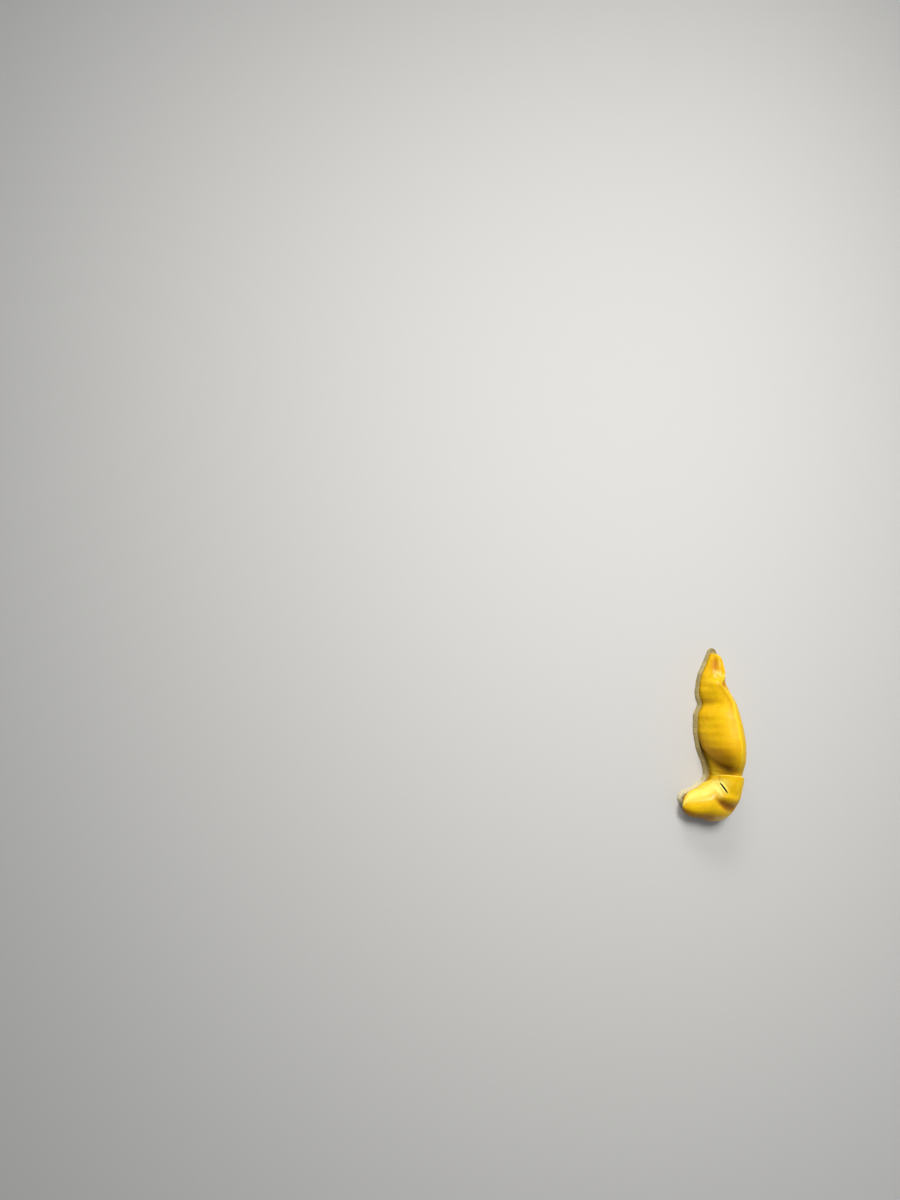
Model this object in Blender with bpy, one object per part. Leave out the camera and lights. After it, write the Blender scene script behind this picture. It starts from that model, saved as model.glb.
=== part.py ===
"""A resting banana slug, life size, its front turned to its right, as separate solids.

Lengths are in millimetres, and MM turns them into metres where a mesh is made. A station t is a
distance along the middle of the foot, from the tail tip (0) to the front edge (LENGTH). An angle phi
goes round the back, from the right side (0) over the keel (pi / 2) to the left side (pi). A hand is
-1 for the right side and 1 for the left. Tables are pairs of a station and a value there.
"""

import math

import bmesh
import bpy
import numpy as np
from mathutils import Matrix, Vector

MM = 0.001
GAP = 0.3

# Path of the foot on the floor: its headings in degrees, and the point that comes to the origin
LENGTH = 118.6
HEADING = ((0, 1), (12, -3), (25, 2), (40, 4), (68, 3), (76, 3.5), (82, -9), (88, -30), (94, -52),
           (100, -72), (106, -84), (112, -88), (117, -89))
MIDDLE = (53.31, -4.99)

# Foot: half widths, the width of its fringe, and the level of the groove over the fringe
FOOT_RIGHT = ((0, 2.4), (6, 5.2), (12, 8.2), (20, 11.6), (29, 12.7), (34.5, 11.6), (39, 14.4), (45, 15.6),
              (52, 15.6), (60, 14.4), (66, 12.2), (73, 9.6), (78, 9.8), (83, 11.0), (89, 11.8), (95, 12.4),
              (103, 12.4), (108, 10.6), (112, 9.9), (118, 9.6))
FOOT_LEFT = ((0, 2.4), (6, 5.0), (22, 9.8), (34, 13.2), (48, 16.4), (60, 16.2), (72, 15.2), (80, 13.2),
             (93, 13.6), (100, 10.6), (105, 8.4), (110, 7.6), (118, 7.2))
FRONT_SHOULDERS = {-1: 113, 1: 99}
FRONT_TAPER = {-1: 1.0, 1: 1.5}
FRONT_LEAN = -4.5
FRINGE_RIGHT = ((0, 1.2), (4, 1.7), (20, 2.1), (46, 2.8), (60, 2.5), (80, 2.6), (92, 3.4), (112, 3.2))
FRINGE_LEFT = ((0, 1.2), (4, 1.7), (20, 2.1), (46, 2.8), (60, 2.5), (80, 2.6), (117, 2.2))
GROOVE = 1.8
RIDGE_PITCH = 2.2
RIDGE_RISE = 0.3
TAIL_TIP = 3.4
FRONT_EDGE = 114.0

# Back: the height of the keel, and how far it leans to the left of the path
BACK = ((3, 7.6), (7, 9.4), (12, 11.4), (18, 12.8), (26, 15.8), (38, 20.2), (52, 23.8), (64, 25.2),
        (73, 23.8), (77, 21.9), (81, 20.4))
KEEL_LEAN = ((0, 0), (10.5, 0.2), (17.5, -0.2), (21.7, -3.8), (26, -1.8), (31, 0.8), (44, 0.8), (60, 0.6),
             (80, 0.3))
KEEL_RIDGE = ((3, 0.3), (8, 0.9), (30, 0.9), (50, 0.7), (70, 0.5), (80, 0.1))
KEEL_SPREAD = 0.17
TAIL_ROUNDING = 3.2

# Hump over the right flank and the fold in front of it, which starts further back low on the flank
FOLD_STATION = 73.8
FOLD_RUN = 10.5
FOLD_TURN = 0.22
FOLD_DEPTH = 3.0
HUMP_SWELL = 1.1
HUMP_FALL = 11.0

# Dips beside the keel at the tail, each as its depth, station, reach, angle and reach in angle
TAIL_DIPS = ((0.7, 10, 4.5, 0.78, 0.25), (0.9, 22.5, 2.4, 1.95, 0.25))

# Mantle: half widths, crest and rim heights, its bowed rear edge and the thickness of its hood
MANTLE_START = 77.2
MANTLE_SHOULDER = 110.0
MANTLE_END = 119.5
MANTLE_CORNER = 2.6
MANTLE_SLANT = 3.2
MANTLE_LEFT_CORNER = 5.0
MANTLE_RIGHT = ((78, 9.6), (86, 10.9), (94, 11.7), (102, 11.3), (108, 10.2), (120, 9.0))
MANTLE_LEFT = ((78, 10.0), (84, 11.6), (90, 15.0), (95, 15.4), (99, 13.0), (104, 9.2), (110, 7.2),
               (120, 6.0))
MANTLE_CREST = ((78, 23.4), (85, 22.0), (92, 20.0), (99, 17.6), (106, 15.3), (112, 13.3), (119, 12.3))
MANTLE_RIM = ((78, 9.4), (84, 6.2), (90, 4.4), (98, 3.7), (108, 4.5), (120, 6.1))
MANTLE_LIP = 0.5
MANTLE_FLESH = 1.0
MANTLE_CREST_FLESH = 2.8
TUCK_SLOPE = 2.0
HOOD_FLESH = 1.1
HOOD_START = 103.4
HOOD_FRONT_FLESH = 1.3

# Relief of the mantle: swellings and the slanting hollow behind the head, each as its height,
# station, reach along the body, angle and reach in angle
SWELLINGS = ((0.6, 97, 4.5, 0.9, 0.4), (0.5, 106, 5, 1.3, 0.5), (0.3, 84, 4, 1.5, 0.5))
HOLLOWS = ((-1.8, 95.4, 2.6, 1.9, 0.5), (0.7, 91.4, 2.2, 1.8, 0.45))
HOLLOW_SLANT = 7.0

# Breathing pore: its two ends on the mantle as station and angle, half width and depth, and its lip
PORE_ENDS = ((85.8, 0.66), (91.8, 1.33))
PORE_HALF_WIDTH = 0.6
PORE_DEPTH = 1.7
PORE_LIP = 0.45

# Head: its half widths and crest under the hood, the muzzle's end and the face's middle line
HEAD_START = 104.0
HEAD_END = 115.0
HEAD_HALF = ((104, 6.8), (110, 5.5), (116, 5.0))
HEAD_CREST = ((104, 12.6), (110, 10.4), (116, 9.0))
MUZZLE_START = 107.0
FACE_SIDE = ((104, -1.4), (110, -2.4), (116, -2.6))

# Drawn-in tentacles: station, side of the face's middle, height, root and tip radius, and length
UPPER_TENTACLE = (112.1, 2.1, 5.0, 1.05, 0.85, 3.4)
LOWER_TENTACLE = (112.6, 2.7, 3.2, 0.75, 0.6, 2.7)
TENTACLE_SPLAY = math.radians(6)
EYE_RADII = (0.6, 0.35)
EYE_THICKNESS = 0.6

# Mouth: station and height, the slit's radii across, up and in, and the lobes of the lip beside it
MOUTH = (114.9, 2.8)
MOUTH_RADII = (0.35, 0.6, 1.2)
LIP_SIDE = 1.0
LIP_BACK = 1.1
LIP_RADII = (1.1, 0.75, 1.0)

BODY_LENGTHS = (("tail", TAIL_TIP, 24), ("trunk_rear", 24, 46), ("trunk_middle", 46, 64),
                ("trunk_front", 64, 82), ("neck", 82, HEAD_START))
FOOT_LENGTHS = (("tail", TAIL_TIP, 24), ("rear", 24, 50), ("middle", 50, 79), ("bend", 79, 97),
                ("front", 97, FRONT_EDGE))
BODY_STEP = 2.4
BODY_SIDES = 26
MANTLE_STEP = 1.7
MANTLE_SIDES = 34

YELLOW = (0.72, 0.47, 0.04)
PALE_YELLOW = (0.80, 0.58, 0.08)
CREAM = (0.66, 0.58, 0.28)
SOLE_CREAM = (0.74, 0.66, 0.42)
OCHRE = (0.55, 0.38, 0.10)
EYE_BLACK = (0.01, 0.01, 0.012)


def keyed(table, t):
    """A smooth curve through a table's pairs, level past its ends."""
    at, value = np.array(table, float).T
    slope = np.gradient(value, at)
    t = np.clip(np.asarray(t, float), at[0], at[-1])
    i = np.clip(np.searchsorted(at, t, side="right") - 1, 0, len(at) - 2)
    span = at[i + 1] - at[i]
    u = (t - at[i]) / span
    start = (2 * u ** 3 - 3 * u ** 2 + 1) * value[i] + (u ** 3 - 2 * u ** 2 + u) * span * slope[i]
    end = (3 * u ** 2 - 2 * u ** 3) * value[i + 1] + (u ** 3 - u ** 2) * span * slope[i + 1]
    return start + end


def bell(x, centre, spread):
    """A smooth bump of height 1."""
    return np.exp(-((np.asarray(x, float) - centre) / spread) ** 2)


def rounded(t, shoulder, end):
    """A quarter ellipse that falls from 1 at the shoulder to nearly 0 at the end."""
    u = np.clip((np.asarray(t, float) - shoulder) / (end - shoulder), 0, 1)
    return np.sqrt(np.maximum(1 - u ** 2, 0.01))


def trace_path(steps=2400):
    """Stations along the foot with the place and heading of the path at each."""
    t = np.linspace(0, MANTLE_END, steps)
    heading = np.radians(keyed(HEADING, t))
    stride = t[1] - t[0]
    x = np.concatenate([[0], np.cumsum(np.cos(heading[1:]) * stride)]) - MIDDLE[0]
    y = np.concatenate([[0], np.cumsum(np.sin(heading[1:]) * stride)]) - MIDDLE[1]
    return t, x, y, heading


PATH = trace_path()


def place(t, side, up):
    """The point at a station, so far to the left of the path and above the floor."""
    stations, x, y, heading = PATH
    turn = np.interp(t, stations, heading)
    east = np.interp(t, stations, x) - np.sin(turn) * side
    north = np.interp(t, stations, y) + np.cos(turn) * side
    return np.stack(np.broadcast_arrays(east, north, up), axis=-1)


def foot_edge(t, hand):
    """Side of the path where the fringe ends; the front leans to the right."""
    table = FOOT_RIGHT if hand < 0 else FOOT_LEFT
    wave = (0.12 * np.sin(0.55 * t + hand) + 0.1 * np.sin(1.27 * t)) * np.clip(t / 20, 0, 1)
    half = (keyed(table, t) + wave) * rounded(-t, -1.8, 0)
    front = rounded(t, FRONT_SHOULDERS[hand], LENGTH) ** FRONT_TAPER[hand]
    return FRONT_LEAN + (hand * half - FRONT_LEAN) * front


def sole_edge(t, hand):
    """Side of the path where the fringe begins."""
    right, left = foot_edge(t, -1), foot_edge(t, 1)
    fringe = keyed(FRINGE_RIGHT if hand < 0 else FRINGE_LEFT, t)
    return (left + right) / 2 + hand * np.maximum((left - right) / 2 - fringe, 0.4)


def mantle_half(t, hand):
    """Half width of the mantle's rim."""
    return keyed(MANTLE_RIGHT if hand < 0 else MANTLE_LEFT, t)


def untucked(t):
    """Slack that lets the body swell to its full size behind the mantle's edge."""
    return TUCK_SLOPE * np.maximum(MANTLE_START + 2 - t, 0)


def body_half(t, hand):
    """Half width of the body over the groove, tucked in under the mantle."""
    return np.minimum(hand * sole_edge(t, hand), mantle_half(t, hand) - MANTLE_FLESH + untucked(t))


def body_relief(t, phi):
    """How far the body stands out from its plain shape: the keel, the hump and its fold, the dips."""
    past = t - FOLD_STATION + FOLD_RUN * np.exp(-phi / FOLD_TURN)
    hump = HUMP_SWELL * bell(past, -14, 9) - FOLD_DEPTH * np.clip(1 + past / HUMP_FALL, 0, 1) ** 2.6
    relief = hump * bell(phi, 0.65, 0.75) + keyed(KEEL_RIDGE, t) * bell(phi, math.pi / 2, KEEL_SPREAD)
    for depth, station, reach, angle, spread in TAIL_DIPS:
        relief = relief - depth * bell(t, station, reach) * bell(phi, angle, spread)
    return relief


def body_section(t, phi, grow=0.0):
    """The flank and back, swollen outward by grow."""
    t, phi = np.broadcast_arrays(np.asarray(t, float), np.asarray(phi, float))
    crest = np.minimum(keyed(BACK, t), keyed(MANTLE_CREST, t) - MANTLE_CREST_FLESH + untucked(t))
    half = np.where(phi < math.pi / 2, body_half(t, -1), body_half(t, 1))
    tail_end = rounded(-t, -TAIL_TIP - TAIL_ROUNDING, -TAIL_TIP)
    half = half * (0.5 + 0.5 * tail_end)
    out = grow + body_relief(t, phi) * tail_end
    sharp = 1 + 0.28 * np.clip(1 - (t - 10) / 50, 0, 1)
    height = (crest - GROOVE) * tail_end
    rise = height * np.sin(phi) ** (0.92 * sharp)
    side = -half * np.sign(np.cos(phi)) * np.abs(np.cos(phi)) ** sharp
    side = side + keyed(KEEL_LEAN, t) * np.sin(phi) ** 3
    return place(t, side - out * np.cos(phi), GROOVE + GAP / 2 + rise + out * np.sin(phi))


def mantle_relief(t, phi):
    """How far the mantle's back stands out from its plain shape."""
    relief = 0
    for height, station, reach, angle, spread in HOLLOWS:
        along = t + HOLLOW_SLANT * (phi - angle)
        relief = relief + height * bell(along, station, reach) * bell(phi, angle, spread)
    for height, station, reach, angle, spread in SWELLINGS:
        relief = relief + height * bell(t, station, reach) * bell(phi, angle, spread)
    return relief


def mantle_section(t, phi, sink=0.0):
    """The mantle's upper surface, drawn in by sink."""
    t, phi = np.broadcast_arrays(np.asarray(t, float), np.asarray(phi, float))
    half = np.where(phi < math.pi / 2, mantle_half(t, -1), mantle_half(t, 1))
    nose = rounded(t, MANTLE_SHOULDER, MANTLE_END)
    lip = MANTLE_LIP * (1 - rounded(-t, -MANTLE_START - 1.4, -MANTLE_START))
    rim = keyed(MANTLE_RIM, t)
    rise = (keyed(MANTLE_CREST, t) - rim) * nose ** 0.75 * np.sin(np.clip(phi, 0, math.pi)) ** 0.92
    out = mantle_relief(t, phi) - lip - sink
    bow = MANTLE_CORNER * np.exp(-phi / 0.15) + MANTLE_SLANT * np.clip((phi - 0.8) / 2.3, 0, 1)
    bow = bow + MANTLE_LEFT_CORNER * np.exp((phi - math.pi) / 0.22)
    slant = bow * np.clip(1 - (t - MANTLE_START) / 12, 0, 1)
    return place(t + slant, -np.cos(phi) * (half * nose + out), rim + rise + np.sin(phi) * out)


def face_side(t):
    """Side of the path where the middle of the head runs."""
    return keyed(FACE_SIDE, t)


def head_section(t, phi, grow=0.0):
    """The drawn-in head, a rounded muzzle under the hood."""
    t, phi = np.broadcast_arrays(np.asarray(t, float), np.asarray(phi, float))
    blunt = rounded(t, MUZZLE_START, HEAD_END) ** 0.8
    side = face_side(t) - (keyed(HEAD_HALF, t) * blunt + grow) * np.cos(phi)
    rise = (keyed(HEAD_CREST, t) - GROOVE) * blunt * np.abs(np.sin(phi)) ** 0.85 + grow * np.sin(phi)
    return place(t, side, GROOVE + GAP / 2 + rise)


def spaced(start, end, step, close=False):
    """Stations a step apart, crowded toward a rounded end where close is set."""
    u = np.linspace(0, 1, max(3, round((end - start) / step) + 1))
    return start + (end - start) * (np.sin(u * math.pi / 2) if close else u)


def add_object(name, shape, colour, roughness=0.35, group="Banana slug"):
    """An object of its own material from a bmesh in millimetres."""
    bmesh.ops.recalc_face_normals(shape, faces=shape.faces)
    bmesh.ops.scale(shape, vec=(MM, MM, MM), verts=shape.verts)
    mesh = bpy.data.meshes.new(name)
    shape.to_mesh(mesh)
    shape.free()
    mesh.shade_smooth()
    mesh.set_sharp_from_angle(angle=math.radians(50))
    material = bpy.data.materials.new(name)
    material.use_nodes = True
    shader = material.node_tree.nodes["Principled BSDF"]
    shader.inputs["Base Color"].default_value = (*colour, 1)
    shader.inputs["Roughness"].default_value = roughness
    shader.inputs["Metallic"].default_value = 0
    mesh.materials.append(material)
    piece = bpy.data.objects.new(name, mesh)
    bpy.data.collections[group].objects.link(piece)
    if group == "Cutters":
        piece.hide_render = True
        piece.display_type = "WIRE"
    return piece


def loft(name, rings, colour, **more):
    """A closed solid through rings of points, its ends closed by fans."""
    shape = bmesh.new()
    rows = [[shape.verts.new(point) for point in ring] for ring in rings]
    for near, far in zip(rows, rows[1:]):
        for i in range(len(near)):
            j = (i + 1) % len(near)
            shape.faces.new((near[i], near[j], far[j], far[i]))
    for row in (rows[0], rows[-1]):
        hub = shape.verts.new(sum((corner.co for corner in row), Vector()) / len(row))
        for i in range(len(row)):
            shape.faces.new((row[i], row[(i + 1) % len(row)], hub))
    return add_object(name, shape, colour, **more)


def ball(name, centre, radii, frame, colour, sides=16, **more):
    """An ellipsoid whose axes are the columns of a frame."""
    shape = bmesh.new()
    bmesh.ops.create_uvsphere(shape, u_segments=sides, v_segments=sides // 2, radius=1)
    turn = frame.to_4x4() @ Matrix.Diagonal((*radii, 1))
    bmesh.ops.transform(shape, matrix=Matrix.Translation(centre) @ turn, verts=shape.verts)
    return add_object(name, shape, colour, **more)


def combine(piece, other, operation):
    """Leave a Boolean modifier on a piece."""
    change = piece.modifiers.new(operation.title(), "BOOLEAN")
    change.operation = operation
    change.solver = "EXACT"
    change.object = other


def settle(piece, used):
    """Apply a piece's modifiers, drop the objects used and keep the largest closed surface."""
    evaluated = piece.evaluated_get(bpy.context.evaluated_depsgraph_get())
    mesh = bpy.data.meshes.new_from_object(evaluated)
    piece.modifiers.clear()
    piece.data = mesh
    for other in used:
        bpy.data.objects.remove(other)
    shape = bmesh.new()
    shape.from_mesh(mesh)
    shells = []
    left = set(shape.faces)
    while left:
        shell = {left.pop()}
        edge = list(shell)
        while edge:
            face = edge.pop()
            near = {other for line in face.edges for other in line.link_faces} & left
            left -= near
            shell |= near
            edge += near
        shells.append(shell)
    largest = max(shells, key=lambda shell: sum(face.calc_area() for face in shell))
    bmesh.ops.delete(shape, geom=[face for face in shape.faces if face not in largest], context="FACES")
    shape.to_mesh(mesh)
    shape.free()
    mesh.set_sharp_from_angle(angle=math.radians(50))


def slit_frame(section, ends):
    """The middle, half length and axes of a slit: along it, across it and out of the surface."""
    first, last = (Vector(section(*end)) for end in ends)
    t, phi = np.mean(ends, axis=0)
    middle = Vector(section(t, phi))
    forward = Vector(section(t + 0.05, phi)) - middle
    over = Vector(section(t, phi + 0.05)) - middle
    outward = over.cross(forward).normalized()
    across = outward.cross(last - first).normalized()
    along = across.cross(outward)
    return middle, (last - first).length / 2, Matrix((along, across, outward)).transposed()


def face_frame(t):
    """Axes at a station of the face: to the left, up and forward."""
    turn = np.interp(t, PATH[0], PATH[3])
    forward = Vector((math.cos(turn), math.sin(turn), 0))
    up = Vector((0, 0, 1))
    return Matrix((up.cross(forward), up, forward)).transposed()


def body_stations(name):
    """Stations of the rings of one length of the body."""
    start, end = next(ends for other, *ends in BODY_LENGTHS if other == name)
    if name != "tail":
        return spaced(start + GAP / 2, end - GAP / 2, BODY_STEP)
    rounding = start + np.array((0, 0.25, 0.8, 1.6))
    return np.concatenate([rounding, spaced(start, end - GAP / 2, BODY_STEP)[1:]])


def build_body():
    """The body over the groove, parted by thin cuts across it."""
    phi = np.linspace(0, math.pi, BODY_SIDES + 1)
    for name, *_ in BODY_LENGTHS:
        loft(name, [body_section(t, phi) for t in body_stations(name)], YELLOW)


def fringe_ring(t, hand):
    """Section of the fringe: its inner wall, ridged top and thin outer edge."""
    inner = sole_edge(t, hand) + hand * GAP / 2
    width = foot_edge(t, hand) - inner
    ridge = RIDGE_RISE * math.cos(2 * math.pi * t / RIDGE_PITCH)
    outline = ((0, 0), (0, 1.5), (0.3, 1.6 + ridge), (0.66, 1.3 + ridge), (0.92, 0.9), (1, 0.45), (0.94, 0))
    return np.array([place(t, inner + u * width, up) for u, up in outline])


def build_foot():
    """Lengths of sole with the fringe on both sides, and the two one-piece ends."""
    for name, start, end in FOOT_LENGTHS:
        first = start + GAP / 2
        last = end - GAP / 2
        ridges = np.arange(0, LENGTH, RIDGE_PITCH / 2)
        stations = np.concatenate([[first], ridges[(ridges > first + 0.2) & (ridges < last - 0.2)], [last]])
        for hand, side_name in ((-1, "right"), (1, "left")):
            rings = [fringe_ring(t, hand) for t in stations]
            loft(f"foot_fringe_{side_name}_{name}", rings, CREAM, roughness=0.4)
        rings = []
        for t in spaced(first, last, BODY_STEP):
            right = sole_edge(t, -1) + GAP / 2
            left = sole_edge(t, 1) - GAP / 2
            middle = (right + left) / 2
            top = GROOVE - GAP / 2
            corners = ((right, 0), (middle, 0), (left, 0), (left, top), (middle, top), (right, top))
            rings.append(np.array([place(t, side, up) for side, up in corners]))
        loft(f"sole_{name}", rings, SOLE_CREAM, roughness=0.4)
    tip = spaced(TAIL_TIP - GAP / 2, 0.1, 0.55, close=True)
    front = spaced(FRONT_EDGE + GAP / 2, LENGTH - 0.05, 0.5, close=True)
    for name, stations, height in (("tail_tip", tip, 2.0), ("foot_front_edge", front, 1.5)):
        rings = []
        for t in stations:
            swell = np.sin(np.linspace(0, math.pi, 11)) ** 0.6
            across = np.linspace(foot_edge(t, -1), foot_edge(t, 1), 11)
            thin = rounded(t, LENGTH - 1.6, LENGTH) * rounded(-t, -1.6, 0)
            top = place(t, across, 0.4 + (height - 0.4) * swell * thin)
            rings.append(np.concatenate([top, place(t, across[[-2, 5, 1]], 0)]))
        loft(name, rings, CREAM, roughness=0.4)


def build_mantle():
    """The mantle shield over back and head, with its open hood and the breathing pore."""
    phi = np.linspace(0, math.pi, MANTLE_SIDES + 1)
    rear = MANTLE_START + np.array((0.1, 0.5))
    middle = spaced(MANTLE_START + 1.4, MANTLE_SHOULDER, MANTLE_STEP)
    nose = spaced(MANTLE_SHOULDER, MANTLE_END - 0.05, 1.1, close=True)
    stations = np.concatenate([rear, middle, nose[1:]])
    rings = []
    for t in stations:
        top = mantle_section(t, phi)
        under = mantle_section(t, np.array((math.pi, 0)), sink=0.6)
        under[:, 2] -= 0.6 * min(1, rounded(t, MANTLE_SHOULDER, MANTLE_END) * 1.2)
        rings.append(np.concatenate([top, under]))
    mantle = loft("mantle", rings, PALE_YELLOW, roughness=0.3)

    arc = np.linspace(0, math.pi, BODY_SIDES + 1)
    rings = []
    for t in (*body_stations("trunk_front")[-4:], *body_stations("neck")):
        skin = body_section(t, arc, grow=GAP)
        feet = skin[[-1, 0]] * (1, 1, 0) - (0, 0, 1)
        rings.append(np.concatenate([skin, feet]))
    body_cutter = loft("body_cutter", rings, YELLOW, group="Cutters")
    rings = []
    for t in spaced(HOOD_START, MANTLE_END - HOOD_FRONT_FLESH, 1.2, close=True):
        skin = mantle_section(t, arc, sink=HOOD_FLESH)
        feet = skin[[-1, 0]] * (1, 1, 0) - (0, 0, 1)
        rings.append(np.concatenate([skin, feet]))
    hood_cutter = loft("hood_cutter", rings, YELLOW, group="Cutters")
    combine(mantle, body_cutter, "DIFFERENCE")
    combine(mantle, hood_cutter, "DIFFERENCE")

    middle, half_length, frame = slit_frame(mantle_section, PORE_ENDS)
    lip_radii = (half_length + 0.9, PORE_HALF_WIDTH + 1.0, PORE_LIP)
    lip = ball("pore_lip", middle, lip_radii, frame, PALE_YELLOW, group="Cutters")
    pore_radii = (half_length, PORE_HALF_WIDTH, PORE_DEPTH)
    pore = ball("pore", middle, pore_radii, frame, OCHRE, group="Cutters")
    combine(mantle, lip, "UNION")
    combine(mantle, pore, "DIFFERENCE")
    settle(mantle, (body_cutter, hood_cutter, lip, pore))


def cone(name, foot, axes, radii, length, colour, **more):
    """A blunt cone from a point along the third of its axes."""
    shape = bmesh.new()
    bmesh.ops.create_cone(shape, cap_ends=True, segments=14, radius1=radii[0], radius2=radii[1], depth=length)
    bmesh.ops.translate(shape, vec=(0, 0, length / 2), verts=shape.verts)
    bmesh.ops.transform(shape, matrix=Matrix.Translation(foot) @ axes.to_4x4(), verts=shape.verts)
    return add_object(name, shape, colour, **more)


def build_tentacle(name, sizes, hand, head_cutter):
    """One drawn-in tentacle that meets the face, with the place and axes of its tip."""
    station, side, up, root, tip, length = sizes
    foot = Vector(place(station, face_side(station) + hand * side, up))
    axes = face_frame(station) @ Matrix.Rotation(hand * TENTACLE_SPLAY, 3, "Y")
    tentacle = cone(name, foot, axes, (root, tip), length, OCHRE)
    combine(tentacle, head_cutter, "DIFFERENCE")
    settle(tentacle, ())
    return foot + axes.col[2] * length, axes


def build_head():
    """Head with lips and mouth, the four tentacles and the eyes."""
    phi = np.linspace(0, math.pi, 21)
    stations = spaced(HEAD_START + GAP / 2, HEAD_END - 0.03, 0.9, close=True)
    head = loft("head", [head_section(t, phi) for t in stations], OCHRE)
    swollen = [head_section(t, phi, grow=GAP) for t in stations]
    cutter = loft("head_cutter", swollen, OCHRE, group="Cutters")
    station, up = MOUTH
    axes = face_frame(station)
    mouth = Vector(place(station, face_side(station), up))
    slit = ball("mouth_slit", mouth, MOUTH_RADII, axes, OCHRE, group="Cutters")
    lips = []
    for hand in (-1, 1):
        middle = Vector(place(station - LIP_BACK, face_side(station) + hand * LIP_SIDE, up))
        lip = ball(f"lip_{hand}", middle, LIP_RADII, axes, OCHRE, group="Cutters")
        combine(head, lip, "UNION")
        lips.append(lip)
    combine(head, slit, "DIFFERENCE")
    for hand, side_name in ((-1, "right"), (1, "left")):
        build_tentacle(f"tentacle_lower_{side_name}", LOWER_TENTACLE, hand, cutter)
        tip, axes = build_tentacle(f"tentacle_upper_{side_name}", UPPER_TENTACLE, hand, cutter)
        foot = tip + axes.col[2] * GAP
        cone(f"eye_{side_name}", foot, axes, EYE_RADII, EYE_THICKNESS, EYE_BLACK, roughness=0.1)
    settle(head, (cutter, slit, *lips))


for old in list(bpy.data.objects):
    bpy.data.objects.remove(old)
for group_name in ("Banana slug", "Cutters"):
    group = bpy.data.collections.new(group_name)
    bpy.context.scene.collection.children.link(group)

build_body()
build_foot()
build_mantle()
build_head()
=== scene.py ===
import math

import bmesh
import bpy
import numpy as np
from mathutils import Matrix, Vector


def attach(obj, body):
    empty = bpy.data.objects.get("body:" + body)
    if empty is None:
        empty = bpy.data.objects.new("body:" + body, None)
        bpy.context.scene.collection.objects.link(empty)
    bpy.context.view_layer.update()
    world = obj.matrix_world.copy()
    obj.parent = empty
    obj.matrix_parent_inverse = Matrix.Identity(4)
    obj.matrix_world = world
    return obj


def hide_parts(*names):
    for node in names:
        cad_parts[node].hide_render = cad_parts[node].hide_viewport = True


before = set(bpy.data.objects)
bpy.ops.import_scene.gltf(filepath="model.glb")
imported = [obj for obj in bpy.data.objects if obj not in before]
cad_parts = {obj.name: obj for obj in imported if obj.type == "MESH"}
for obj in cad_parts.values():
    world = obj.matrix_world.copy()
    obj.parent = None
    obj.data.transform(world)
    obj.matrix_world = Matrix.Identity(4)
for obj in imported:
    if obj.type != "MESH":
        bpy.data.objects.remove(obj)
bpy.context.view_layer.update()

scene = bpy.context.scene

# Studio
# The slug rests on a plain pale board. A broad soft light stands high beyond the tail, like an open sky,
# a long low one beside it draws the wet highlights, and a weak one opposite keeps the shade clear.
MM = 0.001
FLOOR_SIZE = 6.0
FLOOR_TONE = (0.60, 0.59, 0.57, 1)
FLOOR_ROUGHNESS = 0.7
SKY_TONE = (0.86, 0.92, 1.0, 1)
SKY_STRENGTH = 0.22
WARM = (1.0, 0.985, 0.96)
COOL = (0.95, 0.98, 1.0)
# Each light: its place, its sides, its power, its tone and the angle of its beam in degrees
LIGHTS = {
    "sky light": ((-0.46, -0.10, 0.80), (0.42, 0.42), 2.4, WARM, 100),
    "low light": ((-0.80, -0.28, 0.38), (0.70, 0.20), 0.45, WARM, 50),
    "far light": ((0.5, 0.7, 0.5), (0.6, 0.6), 0.8, COOL, 180),
}


def new_material(name):
    """A material with its tree and its Principled shader."""
    material = bpy.data.materials.new(name)
    material.use_nodes = True
    tree = material.node_tree
    return material, tree, tree.nodes["Principled BSDF"]


def set_shader(shader, values):
    """Write plain values on a shader's sockets."""
    for name, value in values.items():
        shader.inputs[name].default_value = value


def area_light(name, place, sides, power, tone, beam):
    """A soft oblong light that faces the slug."""
    data = bpy.data.lights.new(name, "AREA")
    data.shape = "RECTANGLE"
    data.size, data.size_y = sides
    data.energy = power
    data.spread = math.radians(beam)
    data.color = tone
    light = bpy.data.objects.new(name, data)
    light.location = place
    light.rotation_euler = (-Vector(place)).to_track_quat("-Z", "Y").to_euler()
    scene.collection.objects.link(light)


bpy.ops.mesh.primitive_plane_add(size=FLOOR_SIZE, location=(0, 0, 0))
floor = bpy.context.object
floor.name = "floor"
floor_material, _, floor_shader = new_material("pale board")
set_shader(floor_shader, {"Base Color": FLOOR_TONE, "Roughness": FLOOR_ROUGHNESS})
floor.data.materials.append(floor_material)

for name, values in LIGHTS.items():
    area_light(name, *values)
world = bpy.data.worlds.new("studio")
world.use_nodes = True
world.node_tree.nodes["Background"].inputs["Color"].default_value = SKY_TONE
world.node_tree.nodes["Background"].inputs["Strength"].default_value = SKY_STRENGTH
scene.world = world
scene.view_settings.view_transform = "Standard"

# Camera
# It looks down on the slug's right side, turned so that the tail points up in the picture, and far
# enough back for the slug to be as small and as far from the middle as it was seen.
LENS = 60
SENSOR = 36
FRAME_WIDTH, FRAME_HEIGHT = 900, 1200
CAMERA_RISE = math.radians(50)
CAMERA_DISTANCE = 1.25
TAIL_PIXEL = (711, 648)
MIDDLE = (53.31, -4.99)
TAIL_POINT = Vector((-MIDDLE[0], -MIDDLE[1], 0)) * MM

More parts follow.
